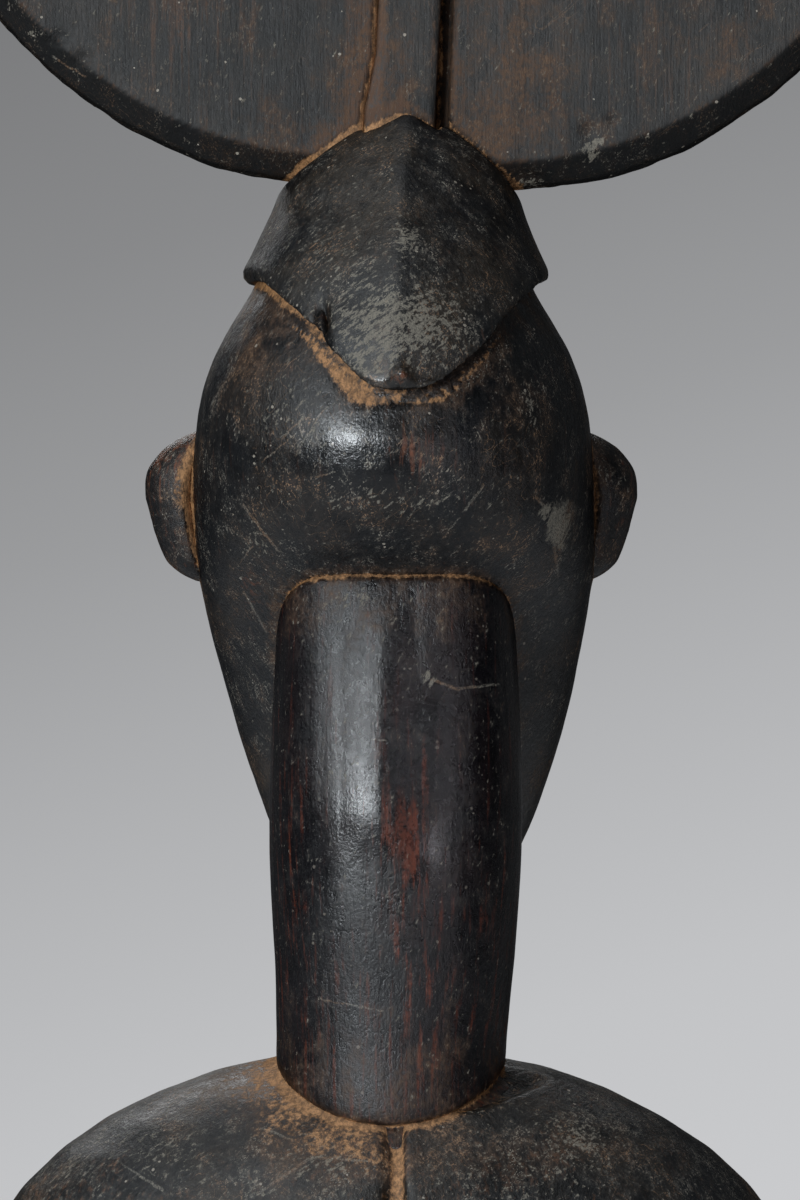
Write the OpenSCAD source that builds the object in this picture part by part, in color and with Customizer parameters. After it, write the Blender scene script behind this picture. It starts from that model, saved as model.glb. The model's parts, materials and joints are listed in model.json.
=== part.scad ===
// Standing fertility doll, carved from one block of dark hardwood.
// The face looks along -Y, the back along +Y, and the doll's own left is +X.
// The origin is the centre of the plinth's underside. All sizes are in millimetres.

/* [Plinth] */
// Radius of the round plinth
plinth_r = 46; // [44:1:56]
// Height of the plinth
plinth_h = 14; // [10:1:20]

/* [Body] */
// Width across the shoulders
shoulder_w = 104; // [98:1:110]
// Depth of the shoulders, back to chest
shoulder_d = 58; // [54:1:62]
// Height of the shoulder mass
shoulder_h = 65.2; // [62:0.2:70]
// Width of the torso at its top
torso_w = 60; // [56:1:64]
// Width of the hips
hip_w = 57; // [54:1:60]
// Radius of a breast where it leaves the chest
breast_r = 10; // [8:0.5:12]
// Width of the groove down the spine
spine_w = 2.6; // [1.6:0.2:4]
// Depth of the groove down the spine
spine_depth = 1.6; // [0.8:0.2:2.4]

/* [Head] */
// Greatest radius of the neck
neck_r = 16; // [14:0.2:17]
// Width of the head
head_w = 50.4; // [48:0.4:56]
// Height of the head, chin to crest
head_h = 100; // [96:1:104]
// Height of an ear
ear_h = 20.4; // [16:0.2:22]
// How far an ear stands out from the head
ear_out = 5.8; // [4:0.2:7]

/* [Crest] */
// Radius of each round lobe of the crest
lobe_r = 57.6; // [50:0.4:62]
// Distance of each lobe's centre from the crest's own middle line
lobe_x = 8.8; // [6:0.2:12]
// Thickness of the crest board
crest_t = 10; // [8:0.5:12]
// Width of the bevel round the board's edge
crest_bevel = 3.4; // [2:0.2:4.4]
// Lean of the crest to the doll's right, in degrees
crest_lean = 2.5; // [0:0.5:5]
// Lean of the cap to the doll's right, in degrees
cap_lean = 1.5; // [0:0.5:3]
// Width of the rib up the middle of the crest
rib_w = 7.8; // [6:0.2:11]
// How far the rib stands proud of each face
rib_proud = 2.4; // [1:0.2:3]
// How much the rib widens at its foot, on the doll's left
rib_flare = 1.1; // [0:0.1:2]
// Width of the groove beside the rib
groove_w = 1.6; // [1:0.2:2.4]

/* [Hidden] */

// Heights of the main places above the ground.
ankle_z = 28;
knee_z = 63;
hip_z = 100;
waist_z = 120;
shoulder_z = 203;
shoulder_top = shoulder_z + shoulder_h / 2;
neck_z = shoulder_top - 21;
chin_z = 248;
eye_z = chin_z + 0.53 * head_h;
ear_z = chin_z + 0.56 * head_h;
cap_z = chin_z + 0.64 * head_h;
crest_z = chin_z + 1.05 * head_h;

// Sideways places of the legs, arms and breasts, and the depths of the rest.
leg_x = 15;
arm_x = 0.415 * shoulder_w;
breast_x = 15.5;
neck_y = 5;
neck_l = 90;
torso_h = 86;
torso_d = 50;
pelvis_h = 34;
pelvis_z = waist_z + 4 - pelvis_h;
pelvis_d = 48;
thigh_gap = 0.8;
lap = 3;
head_d = 65;
cap_w = 50;
cap_h = 43;
cap_d = 60;
crest_back = 6;
rib_low = -4;
rib_t = crest_t + 2 * rib_proud;
flare_top = 7;
lobe_z = 48.2;
rib_high = lobe_z + lobe_r - 0.8;
crest_x = -1.1;
rim_turn = 4;
slit = 0.9;
play = 0.02;
elbow = [arm_x - 0.5, 2, 153];
wrist = [21.5, -23.5, 143];
palm = wrist + [1.5, 0.4, 0.2];
fingertips = [6, -25.5, 139.5];
eye_at = [10.2, -29.4, eye_z];
mouth_at = [0, -35.8, chin_z + 20];

black = [0.09, 0.085, 0.085];
worn = [0.16, 0.09, 0.07];
dusty = [0.17, 0.14, 0.12];

// Each row of a form is [height, half width, back, front] in hundredths: of the form's
// height, of half its width, and of its depth to either side of its own middle plane.
head_rows = [
    [0, 17, -40, -51], [2, 33, -38, -55], [6, 49, -31, -57], [11, 61, -22, -57],
    [16, 69.5, -12, -56], [22, 77.5, -3, -55], [29, 85.5, 5, -52], [35, 91, 10, -50],
    [41, 95.8, 17, -48], [45, 98.2, 25, -47], [49, 99.8, 33, -45], [55, 100, 40.5, -44],
    [62, 99.4, 43.4, -43], [68, 97.2, 43, -42], [74, 90, 40.5, -40], [80, 77.6, 36.5, -38],
    [86, 63, 30.5, -32], [90, 54, 26, -26], [94, 43, 19, -19]
];
cap_rows = [
    [0, 106, 50, -49], [14, 102, 50, -48], [28, 94, 49, -46], [37, 86, 46, -44],
    [47, 77, 43, -41], [56, 72, 38, -37], [65, 65, 32, -31], [74, 59, 27, -25],
    [84, 46, 20, -18], [91, 30, 15, -13], [97, 14, 10, -8], [100, 6, 5, -3]
];
torso_rows = [
    [0, 82, 41, -46], [14, 80, 36, -49], [28, 77, 33, -49], [43, 77, 34, -46],
    [58, 83, 39, -44], [72, 93, 45, -44], [84, 100, 49, -45], [100, 100, 50, -44]
];
pelvis_rows = [
    [0, 82, 38, -30], [22, 96, 51, -36], [46, 100, 56, -40], [70, 95, 53, -44],
    [88, 89, 46, -46], [100, 86, 43, -46]
];
neck_rows = [
    [0, 91], [22, 89.8], [33, 92.8], [44, 96.6], [54, 98.8],
    [64, 98], [76, 95.5], [89, 92], [100, 90]
];
upper_arm_rows = [
    [0, 60, 15, -30], [6, 86, 34, -44], [22, 96, 40, -44],
    [45, 100, 44, -42], [72, 102, 48, -44], [100, 96, 46, -44]
];
forearm_rows = [[0, 92], [25, 98], [50, 90], [75, 76], [100, 68]];
hand_rows = [
    [0, 66, 46, -46], [22, 88, 50, -50], [55, 100, 46, -46],
    [85, 88, 36, -36], [100, 60, 24, -24]
];
thigh_rows = [
    [0, 68, 28, -36], [20, 80, 36, -38], [45, 92, 46, -39],
    [72, 100, 58, -40], [100, 104, 66, -42]
];
lower_leg_rows = [
    [0, 66, 40, -20], [18, 80, 52, -26], [42, 98, 64, -30],
    [64, 97, 60, -34], [86, 88, 46, -40], [100, 86, 38, -44]
];
foot_rows = [
    [0, 100, 33, -66], [28, 100, 34, -64], [52, 93, 33, -50],
    [78, 82, 29, -22], [100, 76, 27, -12]
];
nose_rows = [
    [0, 60, 0, -78], [5, 96, 4, -100], [16, 94, 4, -98], [34, 62, 6, -80],
    [62, 44, 10, -52], [88, 50, 14, -32], [100, 44, 16, -24]
];

// The cap's lower edge as depth and height above the chin, from the face to the back.
cap_rim = [
    [-40, 88], [-24, 86], [-8, 84.4], [2, 84.2], [8, 83.9], [13, 83], [18, 81], [22, 78.9],
    [24.6, 76.9], [26.6, 74.5], [28, 72.6], [29.2, 70.4], [30.2, 68.8]
];
rim_low = cap_rim[len(cap_rim) - 1][1];

// The rows of a round column, whose depth is its width.
function round_rows(rows) = [for (r = rows) [r[0], r[1], r[1] / 2, -r[1] / 2]];

// A table's value at step t, on a smooth curve through its rows.
function row_at(rows, i) = rows[max(0, min(len(rows) - 1, i))];
function smooth_row(rows, t) =
    let (i = min(floor(t), len(rows) - 2), f = t - i)
    let (a = row_at(rows, i - 1), b = row_at(rows, i))
    let (c = row_at(rows, i + 1), d = row_at(rows, i + 2))
    (2 * b + (c - a) * f + (2 * a - 5 * b + 4 * c - d) * f * f
        + (3 * b - a - 3 * c + d) * f * f * f) / 2;

// One level ring of a form: an oval squared by the power, with an optional ridge at its back.
function power_of(v, p) = sign(v) * pow(abs(v), p);
function ring(row, size, sides, power, ridge) =
    let (half = row[1] * size[0] / 200, middle = (row[2] + row[3]) * size[1] / 200)
    let (deep = (row[2] - row[3]) * size[1] / 200, z = row[0] * size[2] / 100)
    [for (i = [0:sides - 1])
        let (x = half * power_of(cos(360 * i / sides), 2 / power))
        let (s = power_of(sin(360 * i / sides), 2 / power))
        let (peak = s > 0 ? ridge[0] * max(0, 1 - abs(x) / ridge[1]) : 0)
        [x, middle + deep * s + peak, z]];

// The two triangles of each cell between one ring and the next.
function wall_faces(sides, steps) = [
    for (k = [0:steps - 1], i = [0:sides - 1], half = [0, 1])
        let (a = k * sides + i, b = k * sides + (i + 1) % sides)
        half == 0 ? [a, a + sides, b] : [b, a + sides, b + sides]
];

// A carved form: rings of the smooth rows, closed by a flat face at each end.
// Its ovals may be squarer at the top than at the foot.
module form(rows, size, sides = 32, steps = 16, power = 2.15, top_power = 0, ridge = [0, 1]) {
    last = len(rows) - 1;
    rise = top_power > 0 ? top_power - power : 0;
    rings = [
        for (k = [0:steps])
            ring(smooth_row(rows, k * last / steps), size, sides, power + rise * k / steps, ridge)
    ];
    ends = [
        [for (i = [0:sides - 1]) i],
        [for (i = [0:sides - 1]) steps * sides + sides - 1 - i]
    ];
    polyhedron([for (r = rings, p = r) p], concat(wall_faces(sides, steps), ends));
}

// The first child, cut back wherever the others are, and kept as one carved shell.
module carved(tone = black) {
    color(tone) resize([0, 0, 0]) difference() {
        children(0);
        children([1:$children - 1]);
    }
}

module egg(radii, at = [0, 0, 0], turn = [0, 0, 0], fine = 22) {
    translate(at) rotate(turn) scale(radii) sphere(r = 1, $fn = fine);
}

// Draws its children on one side of the doll: 1 is its left and -1 its right.
module on_side(side) {
    if (side > 0) children();
    else mirror([1, 0, 0]) children();
}

module plinth() {
    color(dusty) rotate_extrude($fn = 96) polygon([
        [0, 0], [plinth_r - 1.2, 0], [plinth_r, 1.2],
        [plinth_r, plinth_h - 2], [plinth_r - 2, plinth_h], [0, plinth_h]
    ]);
}

module foot_form() {
    foot_w = 17.4;
    foot_l = 40;
    translate([leg_x, 0, plinth_h])
        form(foot_rows, [foot_w, foot_l, ankle_z - plinth_h + lap], 22, 7, 2.6);
}

module foot() {
    toe_w = 3.4;
    carved(dusty) {
        foot_form();
        lower_leg_form();
        for (i = [-1.5:1:1.5])
            translate([leg_x + i * toe_w, -27, plinth_h + 6.5]) rotate([24, 0, 0])
                cube([slit, 15, 8], center = true);
    }
}

module lower_leg_form() {
    calf_w = 19.6;
    calf_d = 25;
    translate([leg_x + 0.5, 0, ankle_z - lap])
        form(lower_leg_rows, [calf_w, calf_d, knee_z - ankle_z + lap + 1], 20, 8);
}

module lower_leg() {
    carved(dusty) {
        lower_leg_form();
        thigh_form();
    }
}

module thigh_form() {
    thigh_w = 25;
    thigh_d = 32;
    translate([leg_x - 1, 0, knee_z - 1])
        form(thigh_rows, [thigh_w, thigh_d, hip_z - knee_z + lap], 20, 8);
}

module thigh() {
    carved() {
        thigh_form();
        pelvis_form();
        // Each thigh ends at the gap between the two.
        translate([-hip_w, -hip_w / 2, knee_z - hip_w / 2])
            cube([hip_w + thigh_gap / 2, hip_w, 2 * hip_w]);
    }
}

module pelvis_form() {
    translate([0, 0, pelvis_z]) form(pelvis_rows, [hip_w, pelvis_d, pelvis_h], 30, 9);
}

module torso_form() {
    translate([0, 0, waist_z]) form(torso_rows, [torso_w, torso_d, torso_h], 30, 12);
}

module shoulder_form() {
    egg([shoulder_w, shoulder_d, shoulder_h] / 2, [0, 0, shoulder_z], fine = 38);
}

// How far back the shoulders, torso or pelvis reach at a height.
function shoulder_back(z) =
    shoulder_d / 2 * sqrt(max(0, 1 - pow((z - shoulder_z) / (shoulder_h / 2), 2)));
function torso_back(z) =
    let (t = (z - waist_z) / torso_h * 100)
    lookup(t, [for (r = torso_rows) [r[0], r[2]]]) * torso_d / 100;
function pelvis_back(z) =
    let (t = (z - pelvis_z) / pelvis_h * 100)
    lookup(t, [for (r = pelvis_rows) [r[0], r[2]]]) * pelvis_d / 100;
function spine_back(z) =
    z < pelvis_z + pelvis_h ? pelvis_back(z) : max(shoulder_back(z), torso_back(z));

// The groove down the spine, from the neck to the buttocks.
module spine_groove() {
    low = waist_z - 12;
    high = shoulder_top - 8;
    floor_line = [for (z = [low:4:high]) [spine_back(z) - spine_depth, z]];
    rotate([90, 0, 90]) linear_extrude(spine_w, center = true)
        polygon(concat(floor_line, [[shoulder_d, high], [shoulder_d, low]]));
}

module pelvis() {
    carved() {
        pelvis_form();
        torso_form();
        spine_groove();
    }
}

module torso() {
    carved() {
        torso_form();
        shoulder_form();
        spine_groove();
    }
}

module shoulders() {
    carved(dusty) {
        shoulder_form();
        spine_groove();
    }
}

module upper_arm_form() {
    arm_w = 15;
    arm_d = 20;
    arm_l = 52;
    translate([arm_x, 0, elbow[2] - arm_w / 2]) form(upper_arm_rows, [arm_w, arm_d, arm_l], 20, 9);
}

module upper_arm() {
    carved() {
        upper_arm_form();
        shoulder_form();
    }
}

// Turns a form that stands on the XY plane so that it runs from one point to another.
module between(from, to) {
    v = to - from;
    translate(from) rotate([0, acos(v[2] / norm(v)), atan2(v[1], v[0])]) children();
}

module forearm_form() {
    forearm_w = 14.4;
    between(elbow, wrist)
        form(round_rows(forearm_rows), [forearm_w, forearm_w, norm(wrist - elbow)], 20, 6);
}

module forearm() {
    carved() {
        forearm_form();
        upper_arm_form();
        torso_form();
    }
}

module hand_form() {
    hand_w = 12.5;
    hand_t = 8;
    between(palm, fingertips) rotate([0, 0, 90])
        form(hand_rows, [hand_w, hand_t, norm(fingertips - palm)], 20, 6, 2.5);
}

module hand() {
    finger_w = 2.7;
    carved() {
        hand_form();
        forearm_form();
        torso_form();
        for (i = [-1:1])
            translate(fingertips + [3.5, -5.5, 1.1 + i * finger_w]) rotate([0, -9, 0])
                cube([9, 6, slit], center = true);
    }
}

module breast() {
    length = 1.7 * breast_r;
    outline = [for (a = [0:16:80]) [breast_r * cos(a), length * sin(a)]];
    nipple = [[1.9, 0.985 * length], [1.7, length + 1.2], [0.8, length + 1.9], [0, length + 2]];
    carved() {
        translate([breast_x, -17.5, shoulder_z - 14]) rotate([106, 0, 14])
            rotate_extrude($fn = 32) polygon(concat([[0, 0]], outline, nipple));
        shoulder_form();
        torso_form();
    }
}

module navel() {
    carved() {
        egg([3.6, 4.2, 4.2], [0, -23.5, waist_z + 33]);
        torso_form();
    }
}

module neck_form() {
    translate([0, neck_y, neck_z])
        form(round_rows(neck_rows), [2 * neck_r, 2 * neck_r, neck_l], 48, 13, 2, 3.1);
}

module neck() {
    carved(worn) {
        neck_form();
        shoulder_form();
        head_form();
    }
}

module head_form() {
    translate([0, 0, chin_z]) form(head_rows, [head_w, head_d, head_h], 40, 28);
}

// The two shallow hollows of the face, which leave the brow and the bridge of the nose.
module face_hollow(side) {
    egg([10.5, 8, 19], [side * 9.6, -36.5, eye_z - 7], [-3, 0, side * 14], fine = 24);
}

module face_form() {
    difference() {
        head_form();
        face_hollow(1);
        face_hollow(-1);
    }
}

module head() {
    carved() {
        head_form();
        face_hollow(1);
        face_hollow(-1);
    }
}

// An ear is broad above and narrows to its lobe, with a hollow in its front.
module ear() {
    reach = head_w / 2 + ear_out;
    carved() {
        hull() {
            egg([7, 5.4, 7], [reach - 7, -4, ear_z + ear_h / 2 - 7], fine = 22);
            egg([6, 4.4, 4.4], [reach - 7.4, -4.6, ear_z - ear_h / 2 + 4.4], fine = 18);
        }
        head_form();
        egg([4.4, 4.6, ear_h / 2 - 3], [reach - 1, -8.6, ear_z + 0.6], fine = 20);
    }
}

module nose_form() {
    nose_w = 11;
    nose_d = 12.6;
    nose_l = 37;
    translate([0, -26, chin_z + 33]) form(nose_rows, [nose_w, nose_d, nose_l], 18, 12, 2.3);
}

module nose() {
    carved() {
        nose_form();
        face_form();
    }
}

module eye() {
    carved() {
        egg([6, 3.4, 3.4], eye_at, [0, 8, 20]);
        face_form();
        nose_form();
        translate(eye_at + [0, -3.4, 0]) rotate([0, 8, 20]) cube([9.4, 3, slit], center = true);
    }
}

module mouth() {
    carved() {
        egg([7.4, 4, 3.8], mouth_at);
        face_form();
        translate(mouth_at - [0, 4, 0]) cube([12, 4, slit], center = true);
    }
}

// The crest's own frame stands on the cap and leans with the crest.
module crest_place() {
    translate([crest_x, 0, crest_z]) rotate([0, -crest_lean, 0]) children();
}

// A whole lobe as a bevelled disc. The grow widens it for the slot that the cap holds it in.
module lobe_disc(side, grow = 0, fine = 120) {
    r = (lobe_r + grow) / (grow > 0 ? cos(180 / fine) : 1);
    back = crest_back + grow;
    front = crest_back - crest_t - grow;
    translate([side * lobe_x, 0, lobe_z]) rotate([-90, 0, 0]) rotate_extrude($fn = fine) polygon([
        [0, front], [r - crest_bevel, front], [r - 0.6, front + 0.6 * crest_bevel],
        [r, (front + back) / 2], [r - 0.5, back - 0.65 * crest_bevel],
        [r - crest_bevel, back], [0, back]
    ]);
}

module crest_lobe(side) {
    edge = rib_w / 2;
    span = 2 * lobe_r;
    color(dusty) crest_place() difference() {
        lobe_disc(side);
        translate([side > 0 ? edge - span : -edge, -span / 2, -span]) cube([span, span, 3 * span]);
        // The rib's wider foot is let into the lobe on the doll's left, and a narrow groove
        // runs beside the rib on its right.
        if (side > 0)
            rib_foot();
        else
            translate([-edge - groove_w, crest_back - groove_w, -span])
                cube([2 * groove_w, span, 3 * span]);
    }
}

// The rib widens a little towards the cap on the doll's left.
module rib_foot() {
    set_back = 0.3;
    wide = rib_w / 2 + rib_flare;
    translate([0, crest_back + rib_proud - set_back, 0]) rotate([90, 0, 0])
        linear_extrude(rib_t - 2 * set_back)
            polygon([[0, rib_low], [wide, rib_low], [wide, 0], [rib_w / 2, flare_top], [0, flare_top]]);
}

module crest_rib() {
    edge = 0.9;
    color(dusty) crest_place() {
        translate([0, crest_back + rib_proud - rib_t / 2, rib_low])
            linear_extrude(rib_high - rib_low) offset(delta = edge, chamfer = true)
                square([rib_w - 2 * edge, rib_t - 2 * edge], center = true);
        rib_foot();
    }
}

// The slot in the cap that the crest board and its rib stand in.
module crest_slot() {
    deep = rib_t + 2 * play;
    crest_place() {
        lobe_disc(1, play, 90);
        lobe_disc(-1, play, 90);
        translate([-rib_w / 2 - play, crest_back + rib_proud + play - deep, rib_low - play])
            cube([rib_w + rib_flare + 2 * play, deep, cap_h]);
    }
}

module coiffure_cap() {
    ridge = [1.8, 9];
    carved(dusty) {
        translate([0, 0, cap_z]) rotate([0, -cap_lean, 0])
            form(cap_rows, [cap_w, cap_d, cap_h], 48, 18, 2.1, ridge = ridge);
        head_form();
        crest_slot();
        translate([0, 0, chin_z]) rotate([90, 0, 90 + rim_turn]) linear_extrude(2 * cap_w, center = true)
            polygon(concat(cap_rim, [[cap_d, rim_low], [cap_d, 0], [-cap_d, 0], [-cap_d, 88]]));
    }
}

plinth();
on_side(1) foot();  // foot_left
on_side(-1) foot();  // foot_right
on_side(1) lower_leg();  // lower_leg_left
on_side(-1) lower_leg();  // lower_leg_right
on_side(1) thigh();  // thigh_left
on_side(-1) thigh();  // thigh_right
pelvis();
torso();
shoulders();
on_side(1) upper_arm();  // upper_arm_left
on_side(-1) upper_arm();  // upper_arm_right
on_side(1) forearm();  // forearm_left
on_side(-1) forearm();  // forearm_right
on_side(1) hand();  // hand_left
on_side(-1) hand();  // hand_right
on_side(1) breast();  // breast_left
on_side(-1) breast();  // breast_right
navel();
neck();
head();
on_side(1) ear();  // ear_left
on_side(-1) ear();  // ear_right
nose();
on_side(1) eye();  // eye_left
on_side(-1) eye();  // eye_right
mouth();
coiffure_cap();
crest_lobe(1);  // crest_lobe_left
crest_lobe(-1);  // crest_lobe_right
crest_rib();
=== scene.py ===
import json
import math

import bpy
import numpy as np
import openvdb as vdb
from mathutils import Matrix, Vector


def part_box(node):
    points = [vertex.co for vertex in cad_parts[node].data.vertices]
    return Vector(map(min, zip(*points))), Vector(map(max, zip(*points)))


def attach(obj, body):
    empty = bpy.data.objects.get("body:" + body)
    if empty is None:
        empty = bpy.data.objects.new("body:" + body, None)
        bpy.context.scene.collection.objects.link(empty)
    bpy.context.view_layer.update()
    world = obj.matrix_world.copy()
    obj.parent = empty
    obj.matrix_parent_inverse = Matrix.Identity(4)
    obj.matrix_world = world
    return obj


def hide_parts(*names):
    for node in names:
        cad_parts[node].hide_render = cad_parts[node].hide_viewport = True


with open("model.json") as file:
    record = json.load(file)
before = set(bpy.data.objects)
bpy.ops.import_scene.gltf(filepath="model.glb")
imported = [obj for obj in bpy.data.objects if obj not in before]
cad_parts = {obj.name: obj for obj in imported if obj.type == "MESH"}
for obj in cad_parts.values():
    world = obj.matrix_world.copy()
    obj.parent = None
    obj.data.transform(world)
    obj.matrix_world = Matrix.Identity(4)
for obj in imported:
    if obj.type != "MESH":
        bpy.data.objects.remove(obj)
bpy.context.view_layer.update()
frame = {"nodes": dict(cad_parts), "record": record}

MM = 0.001
BAND = 5.0  # how far from a surface, in mm, its distance is known
LOOKS = (1.1, 2.6, 4.6)  # how far out, in mm, each point looks for another surface
OVERLAP = 3.0  # how far a piece runs on into its neighbours, in mm
INSET = 0.9  # how deep it lies under their surface there, in mm
SHARED = 4.0  # how far two forms that melt together run into each other, in mm
FINE = 0.5  # the size of a voxel in mm, for the forms that are seen close up
COARSE = 0.75
HEAD_PARTS = ("head", "nose")
BODY_PARTS = (
    "shoulders", "torso", "pelvis", "upper_arm_left", "upper_arm_right",
    "forearm_left", "forearm_right", "thigh_left", "thigh_right",
    "lower_leg_left", "lower_leg_right", "foot_left", "foot_right",
)


# ---------------------------------------------------------------- places on the doll

class Place:
    """A CAD node's box in mm, with points in it given as shares of its size from its middle."""

    def __init__(self, node):
        low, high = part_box(node)
        self.low = np.array(low) / MM
        self.high = np.array(high) / MM
        self.mid = (self.low + self.high) / 2
        self.size = self.high - self.low

    def at(self, x, y, z):
        """x and y run from -1 to 1 across the box, z from 0 at its foot to 1 at its top."""
        return np.array([
            self.mid[0] + x * self.size[0] / 2,
            self.mid[1] + y * self.size[1] / 2,
            self.low[2] + z * self.size[2],
        ])


HEAD = Place("head")
NECK = Place("neck")
CAP = Place("coiffure_cap")
SHOULDERS = Place("shoulders")
EAR = Place("ear_left")
RIB = Place("crest_rib")
LOBE_L = Place("crest_lobe_left")
LOBE_R = Place("crest_lobe_right")


# ---------------------------------------------------------------- noise on points

def lattice(ix, iy, iz, seed):
    """A repeatable number from 0 to 1 for each whole-number point."""
    n = (ix * 73856093) ^ (iy * 19349663) ^ (iz * 83492791) ^ (seed * 2654435)
    n = n & 0xFFFFFFFF
    n = ((n ^ (n >> 15)) * 2246822519) & 0xFFFFFFFF
    n = ((n ^ (n >> 13)) * 3266489917) & 0xFFFFFFFF
    return ((n ^ (n >> 16)) & 0xFFFFFF) / float(0xFFFFFF)


def noise(p, scale, seed=0):
    """Smooth noise from -1 to 1. scale is a lump's size in mm, or one size for each axis."""
    q = p / np.asarray(scale, float) + 1000.0
    base = np.floor(q).astype(np.int64)
    f = q - base
    f = f * f * (3 - 2 * f)
    total = np.zeros(len(p))
    for dx in (0, 1):
        wx = f[:, 0] if dx else 1 - f[:, 0]
        for dy in (0, 1):
            wy = f[:, 1] if dy else 1 - f[:, 1]
            for dz in (0, 1):
                wz = f[:, 2] if dz else 1 - f[:, 2]
                corner = base + np.array([dx, dy, dz])
                total += wx * wy * wz * lattice(*corner.T, seed)
    return total * 2 - 1


def rough(p, scale, seed=0, octaves=3, fade=0.5):
    """Several sizes of noise added together, each finer and fainter."""
    scale = np.asarray(scale, float)
    total = np.zeros(len(p))
    weight = 1.0
    for k in range(octaves):
        total += weight * noise(p, scale / 2 ** k, seed + 31 * k)
        weight *= fade
    return total


def step(x, a, b):
    """0 below a and 1 above b, with a smooth rise between."""
    t = np.clip((x - a) / (b - a), 0, 1)
    return t * t * (3 - 2 * t)


def facets(p, size, seed):
    """The distance to the nearest of some scattered points, as a share of size.

    Each point is the middle of a shallow cut.
    """
    q = p / size + 1000.0
    base = np.floor(q).astype(np.int64)
    best = np.full(len(p), 9.0)
    for dx in (-1, 0, 1):
        for dy in (-1, 0, 1):
            for dz in (-1, 0, 1):
                c = base + np.array([dx, dy, dz])
                middle = c + np.stack([lattice(*c.T, seed + k) for k in range(3)], 1)
                best = np.minimum(best, ((middle - q) ** 2).sum(1))
    return np.sqrt(best)


def blob(p, centre, radii):
    """1 at a centre, falling smoothly to a fifth at the radii."""
    d = ((p - np.asarray(centre, float)) / np.asarray(radii, float)) ** 2
    return np.exp(-1.5 * d.sum(1))


def patches(p, *spots):
    """Soft round marks added together, each (strength, centre, radii), in mm."""
    return sum(strength * blob(p, centre, radii) for strength, centre, radii in spots)


# ---------------------------------------------------------------- solids as distance

_solids = {}


def solid(node, voxel):
    """The level set of a CAD node in mm, on a lattice that every piece shares."""
    if (node, voxel) not in _solids:
        mesh = frame["nodes"][node].data
        mesh.calc_loop_triangles()
        points = np.empty(len(mesh.vertices) * 3, np.float32)
        mesh.vertices.foreach_get("co", points)
        tris = np.empty(len(mesh.loop_triangles) * 3, np.int32)
        mesh.loop_triangles.foreach_get("vertices", tris)
        _solids[node, voxel] = vdb.FloatGrid.createLevelSetFromPolygons(
            (points.reshape(-1, 3) / MM).astype(np.float32),
            triangles=tris.reshape(-1, 3).astype(np.uint32),
            transform=vdb.createLinearTransform(voxelSize=voxel),
            halfWidth=BAND / voxel,
        )
    return _solids[node, voxel]


def distance(node, voxel, low, shape):
    """The distance to a CAD node in mm, outside positive, on a block of the lattice."""
    field = np.empty(shape, np.float32)
    solid(node, voxel).copyToArray(field, ijk=tuple(int(v) for v in low))
    return field


def blur(field, sigma):
    """A Gaussian blur; sigma is in voxels."""
    reach = int(math.ceil(3 * sigma))
    kernel = np.exp(-0.5 * (np.arange(-reach, reach + 1) / sigma) ** 2)
    kernel = (kernel / kernel.sum()).astype(np.float32)
    for axis in range(3):
        widen = [(reach, reach) if a == axis else (0, 0) for a in range(3)]
        padded = np.pad(field, widen, mode="edge")
        out = np.zeros_like(field)
        for k, w in enumerate(kernel):
            cut = [slice(None)] * 3
            cut[axis] = slice(k, k + field.shape[axis])
            out += w * padded[tuple(cut)]
        field = out
    return field


def sample(field, low, voxel, p):
    """The field's value at points in mm, read between its lattice points."""
    q = p / voxel - low
    base = np.clip(np.floor(q).astype(np.int64), 0, np.array(field.shape) - 2)
    f = (q - base).astype(np.float32)
    x, y, z = base.T
    total = np.zeros(len(p), np.float32)
    for dx in (0, 1):
        wx = f[:, 0] if dx else 1 - f[:, 0]
        for dy in (0, 1):
            wy = f[:, 1] if dy else 1 - f[:, 1]
            for dz in (0, 1):
                wz = f[:, 2] if dz else 1 - f[:, 2]
                total += wx * wy * wz * field[x + dx, y + dy, z + dz]
    return total


def slope(field, low, voxel, p, reach):
    """The unit direction in which the field grows at each point."""
    g = np.stack([
        sample(field, low, voxel, p + reach * e) - sample(field, low, voxel, p - reach * e)
        for e in np.eye(3)
    ], 1)
    return g / np.maximum(np.linalg.norm(g, axis=1, keepdims=True), 1e-6)


# ---------------------------------------------------------------- carving a piece

NODE_BOX = {n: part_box(n) for n in frame["nodes"]}
slot_of = {s["node"]: s["material_slot"] for s in frame["record"]["subparts"]}


def corners(node):
    """The low and high corners of a CAD node's box, in mm."""
    return [np.array(v) / MM for v in NODE_BOX[node]]


def neighbours(node, reach):
    """The other nodes whose boxes come within reach, in mm, of this one's."""
    low, high = corners(node)
    found = []
    for other in NODE_BOX:
        a, b = corners(other)
        if other != node and (a < high + reach).all() and (b > low - reach).all():
            found.append(other)
    return found


def gap_to_crease(whole, low, voxel, p, n):
    """How far each point is, in mm, from the crease where its surface meets another one.

    Out along the normal the distance to the doll grows as fast as the way out, unless another
    surface is near. So three looks, each further out, tell how far that surface is.
    """
    here = sample(whole, low, voxel, p)
    looks = []
    for far in LOOKS:
        grown = sample(whole, low, voxel, p + n * far) - here
        looks.append(np.clip(grown, 0, far))
    close, middling, wide = looks
    gap = np.where(middling < 0.96 * LOOKS[1], middling, wide)
    return np.where(close < 0.95 * LOOKS[0], close, gap)


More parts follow.
